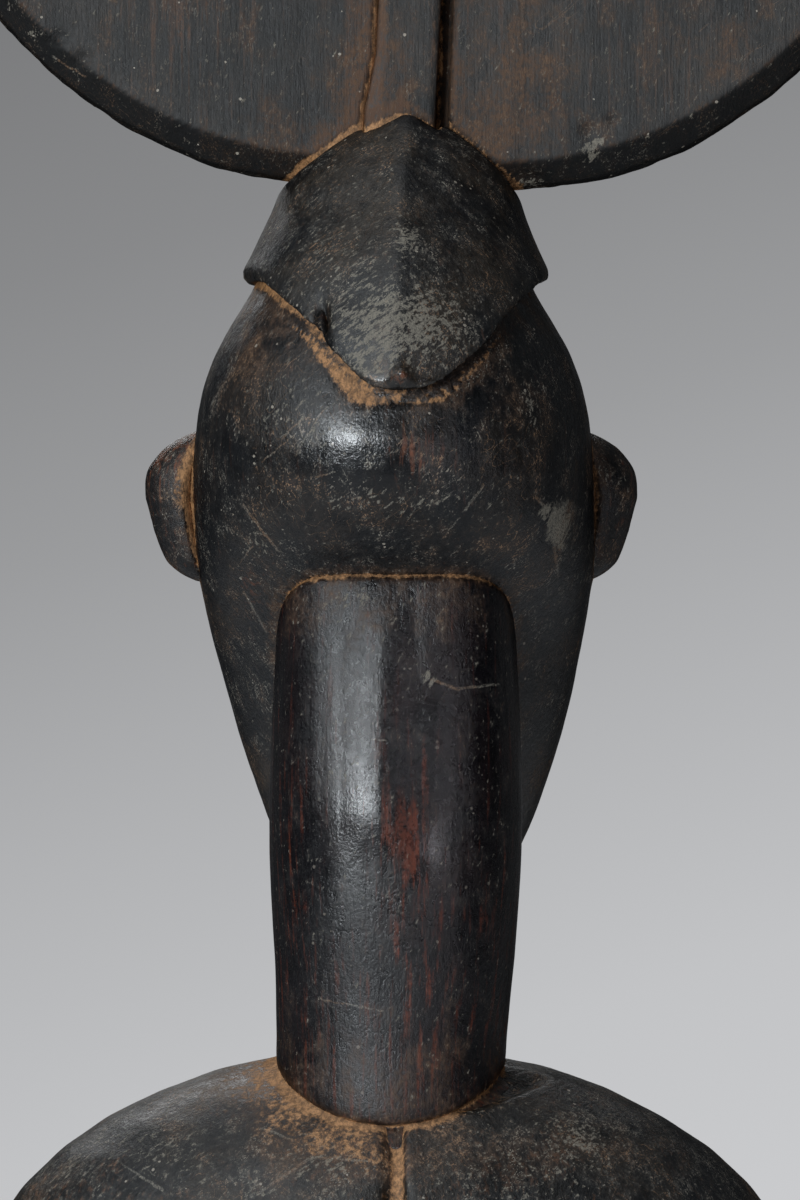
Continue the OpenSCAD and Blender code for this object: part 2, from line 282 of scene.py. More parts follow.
def carve(node, voxel, soft, shape, group=()):
    """Builds the visible piece of a CAD node, with its edges softened by about soft, in mm.

    The piece runs a little way into its neighbours so that no gap shows at a crease. Where it
    is one of a group, the group's forms are first melted together, and the piece then sinks
    under its neighbour's surface past the place where they meet.
    """
    margin = BAND + 1
    corner_a, corner_b = corners(node)
    low = np.floor((corner_a - margin) / voxel).astype(int)
    count = tuple(int(v) for v in np.ceil((corner_b + margin) / voxel).astype(int) - low)
    own = distance(node, voxel, low, count)
    mates = np.full(count, BAND, np.float32)
    others = np.full(count, BAND, np.float32)
    for other in neighbours(node, margin):
        field = distance(other, voxel, low, count)
        if other in group:
            mates = np.minimum(mates, field)
        else:
            others = np.minimum(others, field)
    whole = np.minimum(np.minimum(own, mates), others)
    melted = np.minimum(own, mates) if group else own
    melted = np.minimum(melted, np.maximum(melted - OVERLAP, others + INSET))
    melted = blur(melted, soft / voxel)
    if group:
        past = own - mates
        melted = melted + 0.5 * np.maximum(past, 0)
        melted = np.maximum(melted, past - SHARED)
    grid = vdb.FloatGrid(BAND)
    grid.transform = vdb.createLinearTransform(voxelSize=voxel)
    grid.copyFromArray(melted, ijk=tuple(int(v) for v in low))
    points, quads = grid.convertToQuads(0)
    points = points.astype(float)
    # The mesh's points are drawn onto the surface, as the quads alone only come close.
    for _ in range(2):
        normal = slope(melted, low, voxel, points, voxel * 0.6)
        points -= normal * sample(melted, low, voxel, points)[:, None] * 0.8
    normal = slope(melted, low, voxel, points, voxel)
    gap = gap_to_crease(whole, low, voxel, points, normal)
    points = points + normal * shape(points, normal)[:, None]
    settled = points + settle(node, points)[:, None] * np.array([1.0, 0, 0])
    mesh = bpy.data.meshes.new(node + "_carved")
    mesh.vertices.add(len(points))
    mesh.vertices.foreach_set("co", (settled * MM).astype(np.float32).ravel())
    mesh.loops.add(quads.size)
    mesh.loops.foreach_set("vertex_index", quads[:, ::-1].astype(np.int32).ravel())
    mesh.polygons.add(len(quads))
    mesh.polygons.foreach_set("loop_start", np.arange(0, quads.size, 4, dtype=np.int32))
    mesh.update(calc_edges=True)
    mesh.validate()
    mesh.polygons.foreach_set("use_smooth", np.ones(len(mesh.polygons), bool))
    piece = bpy.data.objects.new(node + "_carved", mesh)
    bpy.context.scene.collection.objects.link(piece)
    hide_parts(node)
    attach(piece, "root")
    return piece, points, normal, gap


def mark(piece, name, values):
    """Gives each point of a piece a number from 0 to 1, which its material reads by name."""
    attribute = piece.data.attributes.new(name, "FLOAT", "POINT")
    attribute.data.foreach_set("value", np.clip(values, 0, 1).astype(np.float32))


# ---------------------------------------------------------------- the lean of each form

CHEST = SHOULDERS.high[2]  # the height where the neck leaves the shoulders


def lean_of(base, *points):
    """A sideways shift in mm that runs through (height above the base, shift) points."""
    heights, shifts = zip(*points)
    return lambda z: np.interp(z - base, heights, shifts)


LEANS = {
    "head": lean_of(HEAD.low[2], (18, -0.6), (32, -0.5), (45, -0.05), (57, 0.2), (70, 0.42)),
    "ear": lean_of(HEAD.low[2], (45, 0.5), (65, 0.6)),
    "cap": lean_of(CAP.low[2], (16, 0.3), (26, 0.2), (37, -0.6)),
    "neck": lean_of(CHEST, (-6, 0.8), (1, 0.55), (12, 0.1), (22, 0)),
    "body": lean_of(CHEST, (-45, 0), (-28, 0.9), (-13, 1.3), (0, 1.35)),
}


# How far out the ears stand at each height: they draw in at both ends.
EAR_ROUND = lean_of(
    EAR.low[2],
    (0, -1.8), (3, -0.6), (7, 0.3), (11, 0.7), (14.5, 0.2), (17.5, -0.9), (20, -2.6),
)


def settle(node, p):
    """A hand-carved form isn't quite true: how far each point moves to the doll's left."""
    z = p[:, 2]
    if node.startswith("crest"):
        return np.zeros(len(p))
    if node.startswith("ear"):
        side = 1 if node == "ear_left" else -1
        return LEANS["ear"](z) + side * EAR_ROUND(z)
    if node == "coiffure_cap":
        return LEANS["cap"](z)
    if node == "neck":
        return LEANS["neck"](z)
    if node in ("head", "nose", "mouth", "eye_left", "eye_right"):
        return LEANS["head"](z)
    # The groove down the spine stays in the middle.
    at_spine = np.exp(-((p[:, 0] / 3.5) ** 2)) * step(p[:, 1], 0, 6)
    return LEANS["body"](z) * (1 - at_spine)


# ---------------------------------------------------------------- small shapes of each piece

def hand_cut(p, size, depth, seed):
    """The slight unevenness that a blade leaves: broad waves and shallow cuts."""
    wave = 0.22 * noise(p, 16, seed) + 0.1 * noise(p, 7, seed + 1)
    return wave + depth * (facets(p, size, seed + 2) - 0.55)


def grain_cut(p, seed, depth):
    """Fine ridges that run up the grain."""
    return depth * rough(p, (1.1, 1.1, 26), seed, 2)


def from_rim(p):
    """How far in from the crest's round outline each point is, in mm."""
    left = p[:, 0] > RIB.mid[0]
    radius = LOBE_L.size[2] / 2
    centre_x = np.where(left, LOBE_L.high[0] - radius, LOBE_R.low[0] + radius)
    centre_z = np.where(left, LOBE_L.mid[2], LOBE_R.mid[2])
    return radius - np.hypot(p[:, 0] - centre_x, p[:, 2] - centre_z)


def on_crest(x, z, y=6):
    """A place x mm to the doll's left and z mm above the crest's foot, on its back face."""
    return (x, y, LOBE_L.low[2] + z)


# Each shape_ function says how far the points p, with normals n, move outward, in mm.

def shape_crest(p, n):
    lift = 0.12 * noise(p, (9, 9, 30), 5) + 0.07 * noise(p, (3.5, 3.5, 24), 6)
    lift += grain_cut(p, 8, 0.05) + 0.1 * (facets(p, 9, 40) - 0.5)
    rim = step(from_rim(p), 5, 1)
    lift += rim * (0.24 * noise(p, 7, 11) + 0.13 * noise(p, 2.6, 12))
    for place, size, depth in CHIPS:
        lift -= depth * blob(p, place, size)
    return lift


def shape_rib(p, n):
    return 0.1 * noise(p, (5, 5, 16), 15) + grain_cut(p, 16, 0.04)


CAP_RIDGE = -0.9  # how far to the doll's left the ridge down the cap's back lies, in mm
# The middles of the gouge beside the cap's lip and of the bead of resin on it, in mm.
GOUGE = (8.8, 26, CAP.low[2] + 9)
RESIN = (CAP_RIDGE, 30, CAP.low[2] + 2.2)


def shape_cap(p, n):
    lift = 0.8 * hand_cut(p, 6.5, 0.16, 21) + 0.03 * rough(p, 2.2, 25)
    height = p[:, 2] - CAP.low[2]
    across = np.abs(p[:, 0] - CAP_RIDGE)
    behind = step(n[:, 1], 0, 0.3)
    ridge = 0.3 * np.exp(-((across / 1.8) ** 2)) * step(height, 18, 30)
    ridge -= 0.18 * np.exp(-(((across - 4) / 3) ** 2)) * step(height, 12, 22)
    lift += behind * ridge
    # The cap's lower corners stand out.
    lift += 0.5 * np.exp(-(((height - 15.5) / 2.4) ** 2)) * step(np.abs(p[:, 0]), 14.5, 18)
    lift -= 1.7 * blob(p, GOUGE, (0.95, 8, 2.5))
    return lift + 1.5 * blob(p, RESIN, (1.15, 5, 1.1))


def shape_head(p, n):
    lift = 0.9 * hand_cut(p, 8, 0.12, 51) + 0.02 * rough(p, 2.2, 55)
    lift -= 0.5 * blob(p, HEAD.at(0.83, 0.5, 0.69), (0.9, 6, 2.4))
    return lift - 0.4 * blob(p, HEAD.at(-0.62, 0.8, 0.66), (0.9, 6, 2.0))


def shape_neck(p, n):
    lift = 0.6 * hand_cut(p, 9, 0.1, 61) + grain_cut(p, 63, 0.03)
    # A long flat cut on the doll's left ends at a soft edge near the middle of the back, and
    # beside it the wood swells a little.
    height = p[:, 2] - CHEST
    tall = step(height, 24, 31) * step(height, 60, 52)
    across = p[:, 0] - 1.4
    edge = np.clip(1 - np.hypot(across, 1.1) / np.where(across > 0, 5.4, 4), 0, 1)
    lift += 0.3 * blob(p, on_neck(-1.6, 27, 24), (4.2, 12, 5))
    return lift + 0.62 * edge * tall * step(n[:, 1], 0.3, 0.7)


SPINE_FOOT = (95, 110)  # the heights in mm between which the groove down the spine fades in


def shape_body(p, n):
    lift = hand_cut(p, 8, 0.14, 71) + grain_cut(p, 75, 0.03)
    height = p[:, 2] - CHEST
    back = step(n[:, 1], 0.1, 0.5)
    spine = back * step(p[:, 2], *SPINE_FOOT) * step(height, -5.6, -8.4)
    lift -= 1.2 * spine * np.exp(-((p[:, 0] / 1.15) ** 4))
    # Beside the neck, on the doll's right, the top of the shoulder is cut back behind an edge.
    outward = -p[:, 0]
    edge = -6.4 + 3.2 * step(outward, 8, 24)
    cut = step(height - edge, -0.3, 0.9) * step(outward, 7, 10) * step(outward, 34, 24)
    return lift - 0.8 * cut * step(p[:, 1], 4, 9)


def shape_small(p, n):
    return 0.1 * noise(p, 4, 81)


CHIPS = [
    (on_crest(42.0, 18.2), (1.5, 3, 1.0), 0.9),
    (on_crest(38.9, 15.6), (1.6, 3, 1.1), 1.0),
    (on_crest(-24.0, 6.9), (1.1, 2.2, 0.8), 0.8),
    (on_crest(-27.1, 7.9), (0.9, 2.2, 0.8), 0.7),
    (on_crest(-24.6, 4.6), (2.2, 2.6, 2.6), 0.5),
    (on_crest(-17.0, 0.6, 4), (2.4, 3, 1.2), 0.6),
]


# ---------------------------------------------------------------- materials

RANGE_KEYS = ("From Min", "From Max", "To Min", "To Max")


class Nodes:
    """Short names for the shader nodes that the materials use."""

    def __init__(self, name):
        self.material = bpy.data.materials.new(name)
        self.material.use_nodes = True
        self.tree = self.material.node_tree
        self.tree.nodes.clear()
        self.out = self.tree.nodes.new("ShaderNodeOutputMaterial")
        self.shader = self.tree.nodes.new("ShaderNodeBsdfPrincipled")
        self.tree.links.new(self.shader.outputs[0], self.out.inputs[0])
        self.coords = self.tree.nodes.new("ShaderNodeTexCoord").outputs["Object"]

    def put(self, socket, value):
        if isinstance(value, bpy.types.NodeSocket):
            self.tree.links.new(value, socket)
        elif value is not None:
            socket.default_value = value

    def attribute(self, name):
        node = self.tree.nodes.new("ShaderNodeAttribute")
        node.attribute_name = name
        return node.outputs["Fac"]

    def scaled(self, scale, turn=(0, 0, 0), move=(0, 0, 0)):
        """The place on the doll, counted in features to the mm along each turned axis."""
        node = self.tree.nodes.new("ShaderNodeMapping")
        self.put(node.inputs["Vector"], self.coords)
        node.vector_type = "TEXTURE"
        node.inputs["Scale"].default_value = [MM / s for s in scale]
        node.inputs["Rotation"].default_value = turn
        node.inputs["Location"].default_value = [0.1 * m for m in move]
        return node.outputs[0]

    def noise(self, vector, detail=4.0, rough=0.6, output="Fac"):
        node = self.tree.nodes.new("ShaderNodeTexNoise")
        self.put(node.inputs["Vector"], vector)
        node.inputs["Scale"].default_value = 1.0
        node.inputs["Detail"].default_value = detail
        node.inputs["Roughness"].default_value = rough
        return node.outputs[output]

    def cells(self, vector):
        """How far it is to the nearest of some scattered points."""
        node = self.tree.nodes.new("ShaderNodeTexVoronoi")
        self.put(node.inputs["Vector"], vector)
        node.inputs["Scale"].default_value = 1.0
        return node.outputs["Distance"]

    def ramp(self, value, low, high, to_low=0.0, to_high=1.0):
        node = self.tree.nodes.new("ShaderNodeMapRange")
        node.interpolation_type = "SMOOTHSTEP"
        self.put(node.inputs["Value"], value)
        for key, limit in zip(RANGE_KEYS, (low, high, to_low, to_high)):
            node.inputs[key].default_value = limit
        return node.outputs["Result"]

    def math(self, kind, a, b=None, c=None, clamp=False):
        node = self.tree.nodes.new("ShaderNodeMath")
        node.operation = kind
        node.use_clamp = clamp
        for socket, value in zip(node.inputs, (a, b, c)):
            self.put(socket, value)
        return node.outputs[0]

    def vector(self, kind, a, b=None, c=None):
        node = self.tree.nodes.new("ShaderNodeVectorMath")
        node.operation = kind
        for socket, value in zip(node.inputs, (a, b, c)):
            self.put(socket, value)
        is_number = kind in ("DOT_PRODUCT", "LENGTH", "DISTANCE")
        return node.outputs["Value" if is_number else "Vector"]

    def choose(self, kind, amount, a, b):
        node = self.tree.nodes.new("ShaderNodeMix")
        node.data_type = kind
        for key, value in (("Factor", amount), ("A", a), ("B", b)):
            self.put(node.inputs[key], value)
        return node.outputs["Result"]

    def blend(self, amount, a, b):
        return self.choose("RGBA", amount, a, b)

    def mix(self, amount, a, b):
        return self.choose("FLOAT", amount, a, b)

    def bump(self, height):
        """A normal that follows a height in mm."""
        node = self.tree.nodes.new("ShaderNodeBump")
        node.inputs["Strength"].default_value = 1.0
        node.inputs["Distance"].default_value = MM
        self.put(node.inputs["Height"], height)
        return node.outputs[0]


def rgb(colour, share=1.0):
    return (*(share * c for c in colour), 1.0)


def strokes(n, turn, across, along, cut, move):
    """Short marks that lie one way: 1 on a mark. across and along count marks to the mm."""
    field = n.noise(n.scaled((across, across, along), turn, move), 1.0, 0.6)
    return n.ramp(field, cut, cut + 0.06)


def scratches(n, turn, across, along, thin, move):
    """Long thin lines that lie one way: 1 on a scratch."""
    field = n.noise(n.scaled((across, across, along), turn, move), 1.0, 0.3)
    return n.ramp(n.math("ABSOLUTE", n.math("SUBTRACT", field, 0.5)), 0.0, thin, 1.0, 0.0)


DEPTH = 0.03  # how much depth counts for a drawn mark's place
WAVER = 0.5  # how far a drawn mark strays from its line, in mm


def drawn(n, marks):
    """Single scratches and drips, each (from, to, width) in mm: 1 on a mark.

    Depth counts for little, so that a mark follows the surface that it lies on.
    """
    flat = n.scaled((1, DEPTH, 1))
    jitter = n.noise(n.scaled((0.9, 0.9, 0.9)), 2.0, 0.5, output="Color")
    moved = n.vector("MULTIPLY_ADD", jitter, (WAVER, 0, WAVER), flat)
    moved = n.vector("SUBTRACT", moved, (WAVER / 2, 0, WAVER / 2))
    total = None
    for start, end, width in marks:
        a, b = (Vector((x, y * DEPTH, z)) for x, y, z in (start, end))
        run = b - a
        out = n.vector("SUBTRACT", moved, a)
        share = n.vector("DOT_PRODUCT", out, run)
        share = n.math("MULTIPLY", share, 1 / run.length_squared, clamp=True)
        along = n.tree.nodes.new("ShaderNodeVectorMath")
        along.operation = "SCALE"
        along.inputs[0].default_value = run
        n.put(along.inputs["Scale"], share)
        away = n.vector("DISTANCE", out, along.outputs[0])
        line = n.ramp(away, 0.2 * width, 0.5 * width, 1.0, 0.0)
        total = line if total is None else n.math("MAXIMUM", total, line)
    return total


GREY_BLOTCH = (0.014, 0.0155, 0.018)
GREY_FILM = (0.085, 0.08, 0.07)
GREY_SCRATCH = (0.2, 0.185, 0.155)
BROWN_SCRATCH = (0.18, 0.11, 0.065)
PALE_SPECK = (0.27, 0.24, 0.2)
TAN_SCUFF = (0.165, 0.15, 0.122)
OCHRE_DUST = (0.38, 0.2, 0.09)


def patina(
    name, dark=(0.0036, 0.0042, 0.0052), brown=(0.013, 0.0105, 0.009),
    rust_color=(0.13, 0.04, 0.016), stain_color=(0.06, 0.031, 0.016),
    film=0.3, streak=0.3, shine=0.33, sheen=0.5, grain=0.5, peel=0.5,
    slant=0.5, marks=0.6, specks=0.7, single=(),
):
    """Black-stained hardwood, with worn, dusty and scratched places.

    shine is the bare wood's roughness, sheen its mirror strength, slant the lean of its marks
    in radians, and single the list of its drawn marks. The other numbers say how strongly the
    dust film, brown streaks, grain, orange-peel skin, short marks and pale specks show.
    """
    n = Nodes(name)
    cloud = n.noise(n.scaled((0.1, 0.1, 0.08)), 5, 0.62)
    blotch = n.noise(n.scaled((0.3, 0.3, 0.22), move=(7, 3, 1)), 5, 0.7)
    upright = n.noise(n.scaled((1.3, 1.3, 0.07)), 4, 0.7)
    fine = n.noise(n.scaled((1.5, 1.5, 1.1)), 4, 0.75)
    speckle = n.noise(n.scaled((5.5, 5.5, 4.2)), 2, 0.7)
    base = n.blend(n.ramp(cloud, 0.4, 0.64), rgb(dark), rgb(brown))
    base = n.blend(n.ramp(upright, 0.5, 0.72, 0, streak), base, rgb(brown, 2.0))
    base = n.blend(n.ramp(blotch, 0.52, 0.7, 0, 0.4), base, rgb(GREY_BLOTCH))
    base = n.blend(n.ramp(blotch, 0.46, 0.34, 0, 0.8), base, rgb(dark, 0.5))
    # The creases and their surroundings are stained brown.
    stain = n.math("ADD", n.attribute("stain"), n.ramp(blotch, 0.25, 0.75, -0.4, 0.4))
    stain = n.math("MULTIPLY", n.ramp(stain, 0.2, 0.95), n.ramp(fine, 0.34, 0.62, 0.1, 1.0))
    base = n.blend(n.math("MULTIPLY", stain, 0.9), base, rgb(stain_color))
    # Rust-brown wood shows through the black where the stain has worn thin.
    rust = n.math("ADD", n.attribute("rust"), n.ramp(upright, 0.3, 0.7, -0.45, 0.45))
    rust = n.math("MULTIPLY", n.ramp(rust, 0.35, 1.0), n.ramp(fine, 0.32, 0.6, 0.1, 1.0))
    base = n.blend(rust, base, rgb(rust_color))
    # A thin grey film of old dust lies over everything, in broken patches.
    veil = n.math("MULTIPLY", n.ramp(fine, 0.46, 0.72), n.ramp(blotch, 0.36, 0.66))
    veil = n.math("MULTIPLY", veil, n.ramp(speckle, 0.35, 0.65, 0.3, 1.6))
    base = n.blend(n.math("MULTIPLY", veil, film), base, rgb(GREY_FILM))
    # Soot and painted shade darken the deepest and most shaded places: soot where it lies, painted
    # shade in gouges, grooves, under the crest's rim and on the doll's right shoulder.
    soot_and_shade = n.math("MULTIPLY", n.attribute("soot_and_shade"), 0.85)
    base = n.blend(soot_and_shade, base, rgb(dark, 0.5))
    # Short marks, mostly in three directions, and a few long scratches.
    lines = strokes(n, (0, -slant, 0), 4.6, 0.9, 0.62, (3, 1, 2))
    more = strokes(n, (0, 0.7 * slant, 0), 4.2, 0.8, 0.64, (11, 7, 4))
    lines = n.math("MAXIMUM", lines, more)
    more = strokes(n, (0, -1.7 * slant, 0), 5.0, 1.1, 0.63, (19, 5, 8))
    lines = n.math("MAXIMUM", lines, more)
    lines = n.math("MULTIPLY", lines, n.ramp(blotch, 0.48, 0.62))
    long = n.math(
        "MAXIMUM", scratches(n, (0, -0.9, 0), 0.5, 0.06, 0.0035, (3, 1, 2)),
        scratches(n, (0, 0.6, 0), 0.7, 0.08, 0.004, (11, 7, 4)),
    )
    long = n.math("MULTIPLY", long, n.ramp(cloud, 0.5, 0.58))
    lines = n.math("MAXIMUM", lines, long)
    lines = n.math("MULTIPLY", lines, n.ramp(speckle, 0.36, 0.56, 0.0, marks))
    if single:
        own = n.math("MULTIPLY", drawn(n, single), n.ramp(speckle, 0.38, 0.62, 0.04, 0.6))
        lines = n.math("MAXIMUM", lines, own)
    ink = n.blend(n.ramp(cloud, 0.45, 0.55), rgb(GREY_SCRATCH), rgb(BROWN_SCRATCH))
    base = n.blend(lines, base, ink)
    # Pale specks lie in loose clusters.
    cluster = n.noise(n.scaled((0.45, 0.45, 0.45), move=(9, 2, 5)), 2)
    size = n.ramp(cluster, 0.54, 0.68, 0.0, 0.17)
    speck = n.math("LESS_THAN", n.cells(n.scaled((0.75, 0.75, 0.75))), size)
    base = n.blend(n.math("MULTIPLY", speck, specks), base, rgb(PALE_SPECK))
    # Tan scuffs, made of short strokes.
    dabs = n.noise(n.scaled((2.2, 2.2, 0.6), (0, -slant - 0.35, 0), (2, 6, 3)), 3, 0.72)
    scuff = n.math("ADD", n.attribute("scuff"), n.ramp(dabs, 0.3, 0.7, -0.55, 0.45))
    scuff = n.ramp(n.math("ADD", scuff, n.ramp(fine, 0.3, 0.7, -0.3, 0.3)), 0.42, 0.72)
    scuff = n.math("MULTIPLY", scuff, n.ramp(speckle, 0.34, 0.58, 0.45, 1.0))
    base = n.blend(n.math("MULTIPLY", scuff, 0.85), base, rgb(TAN_SCUFF))
    # Ochre dust lies in the creases.
    dust = n.math("ADD", n.attribute("dust"), n.ramp(fine, 0.28, 0.72, -0.22, 0.22))
    dust = n.ramp(n.math("ADD", dust, n.ramp(blotch, 0.35, 0.65, -0.18, 0.18)), 0.28, 0.8)
    dust = n.math("MULTIPLY", dust, n.ramp(speckle, 0.3, 0.6, 0.6, 1.0))
    tone = n.blend(n.ramp(fine, 0.36, 0.66), rgb(OCHRE_DUST, 0.36), rgb(OCHRE_DUST))
    base = n.blend(dust, base, tone)
    n.put(n.shader.inputs["Base Color"], base)

    dull = n.ramp(blotch, 0.3, 0.7, shine, shine + 0.14)
    dull = n.math("ADD", dull, n.ramp(fine, 0.3, 0.8, -0.05, 0.16))
    gloss = n.mix(n.attribute("polish"), dull, n.ramp(blotch, 0.3, 0.7, 0.13, 0.24))
    gloss = n.math("ADD", gloss, n.math("MULTIPLY", stain, 0.16))
    gloss = n.math("ADD", gloss, n.math("MULTIPLY", rust, 0.06))
    gloss = n.mix(n.math("MAXIMUM", dust, scuff), gloss, 0.85)
    n.put(n.shader.inputs["Roughness"], gloss)
    # The dry, dusty skin doesn't mirror the room where it turns away.
    turned = n.tree.nodes.new("ShaderNodeLayerWeight")
    turned.inputs["Blend"].default_value = 0.5
    level = n.ramp(turned.outputs["Facing"], 0.25, 0.8, sheen, 0.02)
    level = n.math("MULTIPLY", level, n.ramp(n.attribute("soot_and_shade"), 0, 1, 1.0, 0.3))
    n.put(n.shader.inputs["Specular IOR Level"], level)

    pores = n.noise(n.scaled((3.4, 3.4, 0.3)), 1, 0.6)
    skin = n.noise(n.scaled((3.2, 3.2, 2.6), move=(1, 8, 3)), 1, 0.5)
    height = n.math("MULTIPLY", pores, 0.07 * grain)
    height = n.math("MULTIPLY_ADD", fine, 0.14, height)
    height = n.math("MULTIPLY", height, n.ramp(n.attribute("polish"), 0, 1, 1.0, 0.22))
    height = n.math("MULTIPLY_ADD", skin, 0.05 * peel, height)
    height = n.math("MULTIPLY_ADD", speckle, 0.02, height)
    height = n.math("MULTIPLY_ADD", n.attribute("dust"), 0.15, height)
    n.put(n.shader.inputs["Normal"], n.bump(height))
    return n.material


# ---------------------------------------------------------------- marks at their own places

def on_head(x, z, y=20):
    """A place x mm to the doll's left and z mm above the chin, y mm behind the middle."""
    return (x, y, HEAD.low[2] + z)


def on_neck(x, z, y=20):
    """A place x mm to the doll's left and z mm above the shoulders."""
    return (x, y, CHEST + z)


# Scratches and drips that stand out, each from, to and width in mm.
HEAD_LINES = [
    (on_head(-19.4, 50.9, 16), on_head(-20.1, 47.5, 15), 0.55),
    (on_head(-20.1, 47.5, 15), on_head(-20.0, 43.2, 14), 0.4),
    (on_head(-17.0, 56.6, 17), on_head(-18.6, 55.0, 17), 0.6),
    (on_head(-20.9, 55.0, 15), on_head(-19.7, 52.2, 16), 3.4),
    (on_head(-19.6, 52.6, 16), on_head(-20.4, 50.6, 16), 1.6),
    (on_head(18.6, 55.5, 18), on_head(14.6, 50.2, 21), 0.5),
    (on_head(19.4, 48.5, 17), on_head(17.6, 50.6, 18), 0.35),
    (on_head(13.8, 63.5, 23), on_head(11.5, 65.6, 24), 0.35),
    (on_head(16.2, 60.8, 21), on_head(12.4, 63.8, 23), 0.3),
    (on_head(12.2, 61.5, 24), on_head(8.8, 66.8, 26), 0.3),
    (on_head(9.6, 58.8, 25), on_head(7.4, 59.4, 26), 0.3),
    (on_head(-8.4, 54.9, 26), on_head(-10.6, 57.9, 25), 0.45),
    (on_head(-5.6, 51.4, 26), on_head(-7.8, 54.0, 26), 0.3),
    (on_head(18.9, 45.0, 12), on_head(16.2, 40.0, 10), 0.5),
]
NECK_LINES = [
    (on_neck(-4.4, 46.8), on_neck(-7.6, 45.6), 0.5),
    (on_neck(-7.4, 45.7), on_neck(-12.6, 46.2), 0.45),
    (on_neck(2.9, 39.6), on_neck(1.2, 39.4), 0.3),
    (on_neck(9.5, 7.7), on_neck(1.6, 6.4), 0.3),
]
SHOULDER_LINES = [
    (on_neck(35.5, -12), on_neck(28.5, -15.5), 0.5),
    (on_neck(33.5, -11), on_neck(29.5, -14), 0.3),
    (on_neck(31.0, -18), on_neck(27.5, -21.5), 0.4),
    (on_neck(16.8, -15.5), on_neck(10.2, -11.2), 0.5),
    (on_neck(10.2, -11.2), on_neck(3.2, -11.6), 0.4),
    (on_neck(38.0, -20), on_neck(36.5, -27), 0.4),
    (on_neck(16.5, -8.2), on_neck(12.6, -9.4), 0.4),
]
CREST_LINES = [
    (on_crest(42.9, 16.0), on_crest(38.8, 13.4), 0.35),
]

PATINAS = {
    "head_patina": dict(
        dark=(0.003, 0.0036, 0.0046), brown=(0.01, 0.008, 0.007), film=0.28, marks=1.0,
        single=HEAD_LINES, sheen=0.38,
    ),
    "cap_patina": dict(
        film=0.55, slant=0.65, marks=1.0, shine=0.4, brown=(0.017, 0.014, 0.011),
    ),
    "crest_patina": dict(
        dark=(0.0075, 0.0078, 0.008), brown=(0.018, 0.016, 0.0145), film=0.35, shine=0.6,
        grain=1.2, streak=0.15, slant=0.12, marks=0.3, rust_color=(0.07, 0.036, 0.021),
        stain_color=(0.09, 0.045, 0.022), peel=0.25, specks=0.85, single=CREST_LINES,
    ),
    "worn_patina": dict(
        dark=(0.0022, 0.002, 0.0029), brown=(0.0065, 0.0042, 0.0048), film=0.1, shine=0.3,
        slant=0.2, marks=0.1, rust_color=(0.105, 0.021, 0.007), single=NECK_LINES,
        peel=0.35, sheen=0.36, specks=0.3,
    ),
    "body_patina": dict(
        dark=(0.0042, 0.005, 0.006), brown=(0.015, 0.0125, 0.0105), film=1.0, shine=0.4,
        single=SHOULDER_LINES, marks=0.95, rust_color=(0.1, 0.045, 0.022),
    ),
    "base_patina": dict(
        dark=(0.008, 0.008, 0.0085), brown=(0.03, 0.023, 0.018), film=0.6, shine=0.5,
    ),
}
MATERIALS = {name: patina(name, **look) for name, look in PATINAS.items()}


# ---------------------------------------------------------------- where each layer lies

# Each _masks function says how thickly the layers lie at the points p, from 0 to 1.

def crease(gap, width):
    """1 in a crease and 0 past about the width, in mm."""
    return step(gap, 1.7 * width, 0.3 * width)


def facing_back(n):
    """1 where the surface looks backward and 0 where it looks forward."""
    return step(n[:, 1], -0.1, 0.4)


def crest_masks(p, n, gap):
    above = p[:, 2] - LOBE_L.low[2]
    # How far each point is from the rib's middle line, which leans a little.
    across = p[:, 0] - (RIB.high[0] - 5.5 - 0.044 * above)
    left = step(across, -1, 1)
    right = 1 - left
    beside_rib = np.exp(-np.maximum(np.abs(across) - 4, 0) / 2.6) * step(np.abs(across), 3, 4.5)
    dust = crease(gap, 0.28 + 0.08 * left) * (0.66 + 0.4 * left)
    stain = 0.8 * np.exp(-gap / 2.2) + 1.1 * left * beside_rib + 0.08
    stain += 0.3 * noise(p, (9, 9, 12), 102)
    stain += 0.6 * right * step(-across, 26, 5) * step(-across, 3, 5) * step(above, 36, 6)
    stain += 0.4 * left * step(across, 24, 6) * step(above, 24, 6)
    rust = 0.05 + 0.2 * noise(p, (13, 13, 34), 101) + 0.75 * left * np.exp(-gap / 2.4)
    rust += 0.6 * left * beside_rib + 0.3 * right * step(-across, 9, 4) * step(-across, 4, 5)
    rust += patches(
        p, (0.3, on_crest(-32, 22), (18, 20, 26)), (0.2, on_crest(24, 24), (10, 20, 24)),
        (0.6, on_crest(-17.3, 7.5), (1.2, 2, 1.0)),
    )
    # Painted shade: the underside of the crest's rim, where it faces down, and the groove right of
    # the rib are darkened.
    soot_and_shade = step(from_rim(p), 3.9, 3.1) * step(-n[:, 2], 0.05, 0.3)
    soot_and_shade += 0.9 * right * crease(gap, 0.5)
    scuff = patches(
        p, (0.95, on_crest(-24.4, 4.4), (1.6, 2, 2.4)), (0.9, on_crest(-17, 0.4, 4), (1.6, 4, 0.8)),
        (0.9, on_crest(45.1, 18.7), (1.0, 2, 0.7)), (0.8, on_crest(-25.7, 5.3), (0.6, 1, 0.5)),
    )
    return dict(dust=dust, stain=stain, rust=rust, soot_and_shade=soot_and_shade, scuff=scuff)


